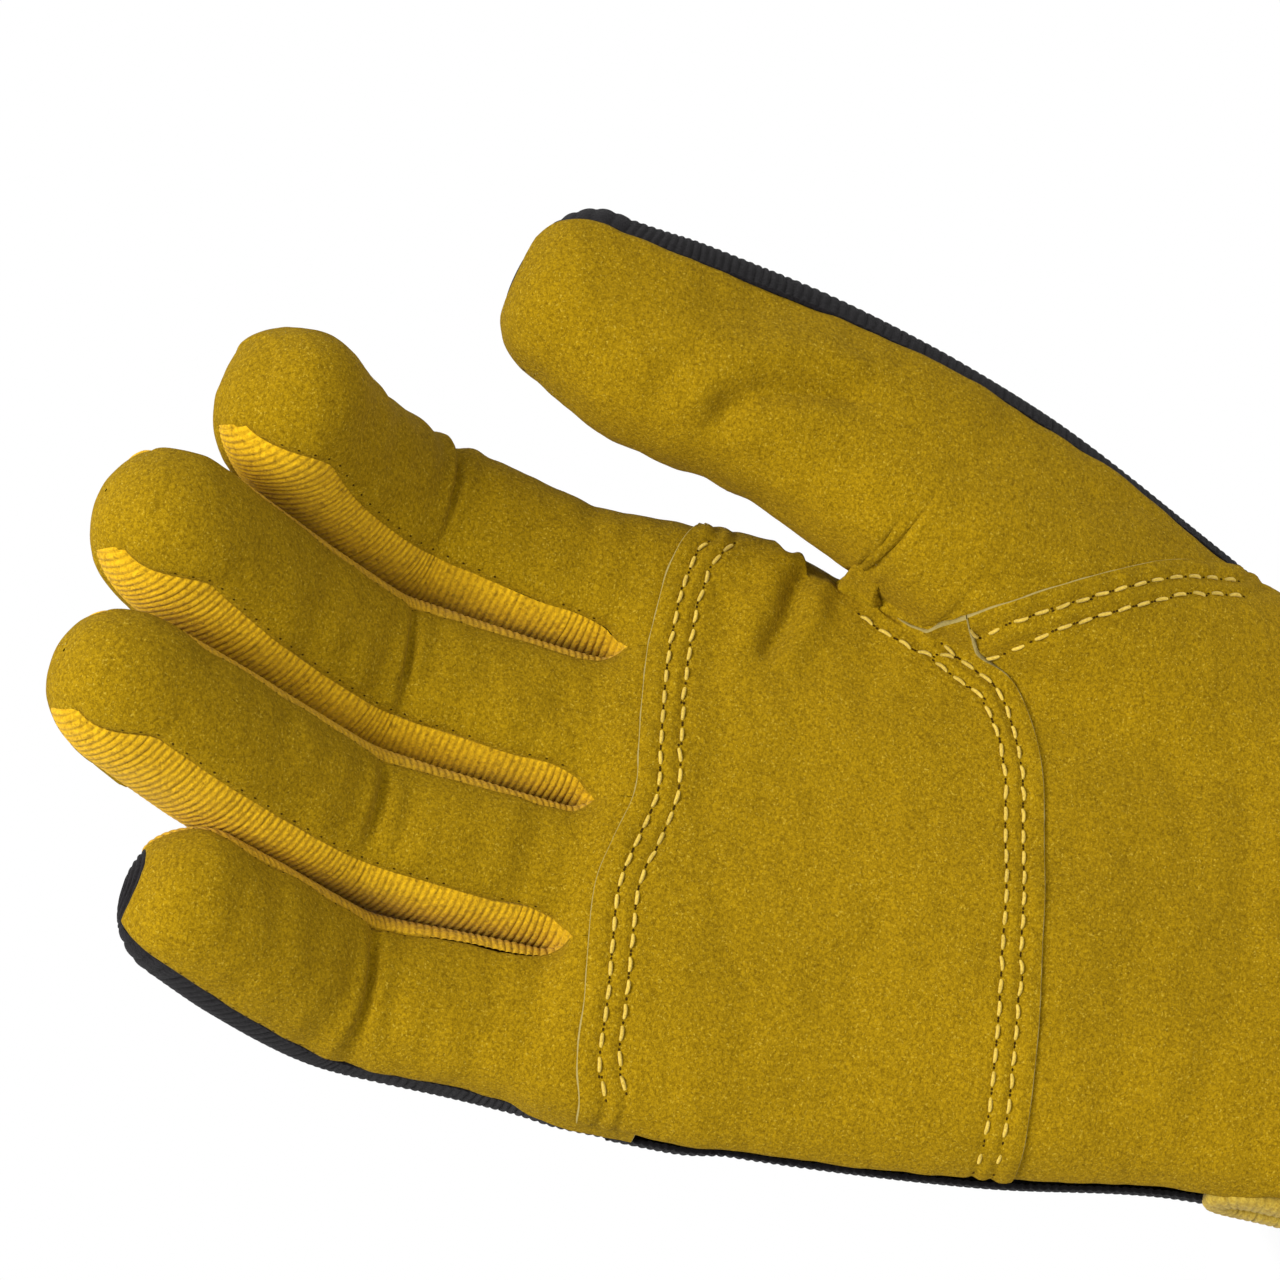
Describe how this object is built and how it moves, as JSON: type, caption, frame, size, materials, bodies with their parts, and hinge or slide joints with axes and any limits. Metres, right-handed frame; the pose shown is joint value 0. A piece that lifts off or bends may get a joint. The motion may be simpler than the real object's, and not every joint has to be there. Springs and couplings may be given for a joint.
{
  "type": "work glove",
  "caption": "Right-hand suede work glove for beekeeping, with a ribbed stretch back, knit finger sides, folding fingers and thumb, a bound wrist slit and a peeling closure strap.",
  "frame": {"origin": "centre of the cuff opening", "axes": "+Z towards the fingertips, -Y out of the palm, +X towards the thumb"},
  "size_m": [0.1546, 0.0764, 0.2624],
  "materials": {
    "suede": "split-cowhide suede with a short nap, gold",
    "back_rib": "black ribbed stretch fabric",
    "fourchette_knit": "yellow rib knit",
    "binding_knit": "folded yellow knit binding",
    "lining_knit": "soft yellow knit",
    "elastic": "woven elastic band",
    "strap_webbing": "padded woven strap",
    "hook_tape": "moulded nylon hooks",
    "loop_tape": "brushed nylon loops"
  },
  "bodies": {
    "hand": {"front_panel": "suede", "palm_patch": "suede", "heel_panel": "suede", "back_panel": "back_rib", "cuff_binding": "binding_knit", "slit_binding": "binding_knit", "cuff_lining": "lining_knit", "wrist_elastic": "elastic", "thumb_base_front": "suede", "thumb_base_back": "back_rib", "strap_anchor": "strap_webbing", "loop_patch": "loop_tape"},
    "thumb": {"thumb_front": "suede", "thumb_back": "back_rib", "thumb_crease": "suede"},
    "strap": {"closure_strap": "strap_webbing", "hook_patch": "hook_tape"},
    "index_lower": {"index_lower_front": "suede", "index_lower_back": "back_rib", "index_lower_fourchette_ulnar": "fourchette_knit", "index_base_crease": "suede"},
    "index_upper": {"index_upper_front": "suede", "index_upper_back": "back_rib", "index_upper_fourchette_ulnar": "fourchette_knit", "index_tip_cap": "suede", "index_mid_crease": "suede"},
    "middle_lower": {"middle_lower_front": "suede", "middle_lower_fourchette_radial": "fourchette_knit", "middle_lower_back": "back_rib", "middle_lower_fourchette_ulnar": "fourchette_knit", "middle_base_crease": "suede"},
    "middle_upper": {"middle_upper_front": "suede", "middle_upper_fourchette_radial": "fourchette_knit", "middle_upper_back": "back_rib", "middle_upper_fourchette_ulnar": "fourchette_knit", "middle_tip_cap": "suede", "middle_mid_crease": "suede"},
    "ring_lower": {"ring_lower_front": "suede", "ring_lower_fourchette_radial": "fourchette_knit", "ring_lower_back": "back_rib", "ring_lower_fourchette_ulnar": "fourchette_knit", "ring_base_crease": "suede"},
    "ring_upper": {"ring_upper_front": "suede", "ring_upper_fourchette_radial": "fourchette_knit", "ring_upper_back": "back_rib", "ring_upper_fourchette_ulnar": "fourchette_knit", "ring_tip_cap": "suede", "ring_mid_crease": "suede"},
    "little_lower": {"little_lower_front": "suede", "little_lower_fourchette_radial": "fourchette_knit", "little_lower_back": "back_rib", "little_base_crease": "suede"},
    "little_upper": {"little_upper_front": "suede", "little_upper_fourchette_radial": "fourchette_knit", "little_upper_back": "back_rib", "little_mid_crease": "suede"}
  },
  "joints": [
    {"name": "index_knuckle", "type": "hinge", "parent": "hand", "child": "index_lower", "pos_m": [0.0394, 0, 0.177], "axis": [1, 0, 0], "range_deg": [-20, 45], "deforming": ["index_base_crease"]},
    {"name": "index_middle_joint", "type": "hinge", "parent": "index_lower", "child": "index_upper", "pos_m": [0.0423, -0.00459, 0.20968], "axis": [1, 0, 0], "range_deg": [-28, 33], "deforming": ["index_mid_crease"]},
    {"name": "middle_knuckle", "type": "hinge", "parent": "hand", "child": "middle_lower", "pos_m": [0.0114, 0, 0.177], "axis": [1, 0, 0], "range_deg": [-20, 45], "deforming": ["middle_base_crease"]},
    {"name": "middle_middle_joint", "type": "hinge", "parent": "middle_lower", "child": "middle_upper", "pos_m": [0.0119, -0.00547, 0.21157], "axis": [1, 0, 0], "range_deg": [-26, 33], "deforming": ["middle_mid_crease"]},
    {"name": "ring_knuckle", "type": "hinge", "parent": "hand", "child": "ring_lower", "pos_m": [-0.0152, 0, 0.177], "axis": [1, 0, 0], "range_deg": [-20, 45], "deforming": ["ring_base_crease"]},
    {"name": "ring_middle_joint", "type": "hinge", "parent": "ring_lower", "child": "ring_upper", "pos_m": [-0.0161, -0.00847, 0.21096], "axis": [1, 0, 0], "range_deg": [-20, 33], "deforming": ["ring_mid_crease"]},
    {"name": "little_knuckle", "type": "hinge", "parent": "hand", "child": "little_lower", "pos_m": [-0.0426, 0.002, 0.177], "axis": [1, 0, 0], "range_deg": [-20, 45], "deforming": ["little_base_crease"]},
    {"name": "little_middle_joint", "type": "hinge", "parent": "little_lower", "child": "little_upper", "pos_m": [-0.0439, -0.00204, 0.20572], "axis": [1, 0, 0], "range_deg": [-26, 33], "deforming": ["little_mid_crease"]},
    {"name": "thumb_fold", "type": "hinge", "parent": "hand", "child": "thumb", "pos_m": [0.074, -0.0252, 0.153], "axis": [0.9877, 0, -0.1564], "range_deg": [-20, 22], "deforming": ["thumb_crease"]},
    {"name": "strap_peel", "type": "hinge", "parent": "hand", "child": "strap", "pos_m": [-0.0317, 0.02501, 0.024], "axis": [0, 0, 1], "range_deg": [0, 110]}
  ]
}
